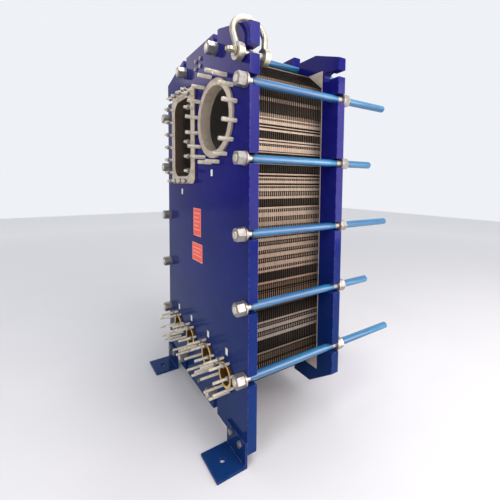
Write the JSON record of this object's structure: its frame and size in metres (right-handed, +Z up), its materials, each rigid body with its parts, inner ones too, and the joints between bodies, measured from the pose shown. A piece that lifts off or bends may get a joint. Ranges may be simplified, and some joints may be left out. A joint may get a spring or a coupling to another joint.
{
  "type": "plate heat exchanger",
  "caption": "Bolted plate heat exchanger with ported frame plate, sliding pressure plate, gasketed plate pack, sleeved tie bolts, feet and a lifting shackle.",
  "frame": {"origin": "on the floor, under the middle of the whole machine's box", "axes": "+Z up, -Y towards the ports on the frame plate's front, +X to the right of someone facing the ports"},
  "size_m": [1.244, 1.489, 2.37],
  "materials": {
    "blue_paint": "glossy deep ultramarine paint over steel plate",
    "port_stainless": "worn stainless liner with a warm tint",
    "drain_gold": "yellow passivated liner",
    "blue_sleeve": "sky-blue thread sleeve",
    "label_orange": "blank orange-red label",
    "tag_white": "blank white tag",
    "galvanised": "hot-dip galvanised, dull and mottled",
    "roller_steel": "turned steel",
    "bolt_steel": "threaded rod, zinc plated",
    "channel_stainless": "pressed stainless sheet",
    "gasket_rubber": "black moulded rubber",
    "zinc_plate": "zinc-plated fasteners"
  },
  "bodies": {
    "root": {"frame_plate": "blue_paint", "gas_port_liner": "port_stainless", "vapour_port_liner": "port_stainless", "drain_port_liners": "drain_gold", "gas_port_studs": "zinc_plate", "vapour_port_studs": "zinc_plate", "drain_port_studs": "zinc_plate", "vapour_stud_nuts": "zinc_plate", "drain_stud_nuts": "zinc_plate", "channel_plates_1": "channel_stainless", "gaskets_1": "gasket_rubber", "tie_bolts": "bolt_steel", "bolt_sleeves": "blue_sleeve", "front_washers": "zinc_plate", "front_nuts": "zinc_plate", "carrying_bar": "blue_paint", "carrying_bar_bolts": "zinc_plate", "guide_bar": "blue_paint", "guide_bar_bolts": "zinc_plate", "support_column": "blue_paint", "column_bolts": "zinc_plate", "foot_brackets": "blue_paint", "foot_bolts": "zinc_plate", "label_plates": "label_orange", "port_tags": "tag_white"},
    "pressure_plate": {"pressure_plate": "blue_paint", "end_liner": "port_stainless", "rear_washers": "zinc_plate", "rear_nuts": "zinc_plate", "end_sleeves": "blue_sleeve", "hanger_cheeks": "blue_paint", "roller_axle": "roller_steel", "hanger_bolts": "zinc_plate"},
    "hanger_roller": {"hanger_roller": "roller_steel"},
    "shackle": {"shackle_bow": "galvanised", "shackle_pin": "galvanised"},
    "bundle_2": {"channel_plates_2": "channel_stainless", "gaskets_2": "gasket_rubber"},
    "bundle_3": {"channel_plates_3": "channel_stainless", "gaskets_3": "gasket_rubber"},
    "bundle_4": {"channel_plates_4": "channel_stainless", "gaskets_4": "gasket_rubber"},
    "bundle_5": {"channel_plates_5": "channel_stainless", "gaskets_5": "gasket_rubber"},
    "bundle_6": {"channel_plates_6": "channel_stainless", "gaskets_6": "gasket_rubber"}
  },
  "joints": [
    {"name": "pressure_plate_slide", "type": "slide", "parent": "root", "child": "pressure_plate", "axis": [0, 1, 0], "range_m": [0, 0.2]},
    {"name": "bundle_2_slide", "type": "slide", "parent": "root", "child": "bundle_2", "axis": [0, 1, 0], "range_m": [0, 0.03334]},
    {"name": "bundle_3_slide", "type": "slide", "parent": "root", "child": "bundle_3", "axis": [0, 1, 0], "range_m": [0, 0.06668]},
    {"name": "bundle_4_slide", "type": "slide", "parent": "root", "child": "bundle_4", "axis": [0, 1, 0], "range_m": [0, 0.10001]},
    {"name": "bundle_5_slide", "type": "slide", "parent": "root", "child": "bundle_5", "axis": [0, 1, 0], "range_m": [0, 0.13334]},
    {"name": "bundle_6_slide", "type": "slide", "parent": "root", "child": "bundle_6", "axis": [0, 1, 0], "range_m": [0, 0.16668]},
    {"name": "hanger_roller_spin", "type": "hinge", "parent": "pressure_plate", "child": "hanger_roller", "pos_m": [0, 0.1575, 2.335], "axis": [1, 0, 0], "range_deg": [-411, 0]},
    {"name": "shackle_swing", "type": "hinge", "parent": "root", "child": "shackle", "pos_m": [0.552, -0.5165, 2.1483], "axis": [0, 1, 0], "range_deg": [0, 154]}
  ],
  "couplings": [
    {"joint": "bundle_2_slide", "follows": "pressure_plate_slide", "ratio": 0.16667},
    {"joint": "bundle_3_slide", "follows": "pressure_plate_slide", "ratio": 0.33333},
    {"joint": "bundle_4_slide", "follows": "pressure_plate_slide", "ratio": 0.5},
    {"joint": "bundle_5_slide", "follows": "pressure_plate_slide", "ratio": 0.66667},
    {"joint": "bundle_6_slide", "follows": "pressure_plate_slide", "ratio": 0.83333},
    {"joint": "hanger_roller_spin", "follows": "pressure_plate_slide", "rad_per_m": -35.714}
  ]
}
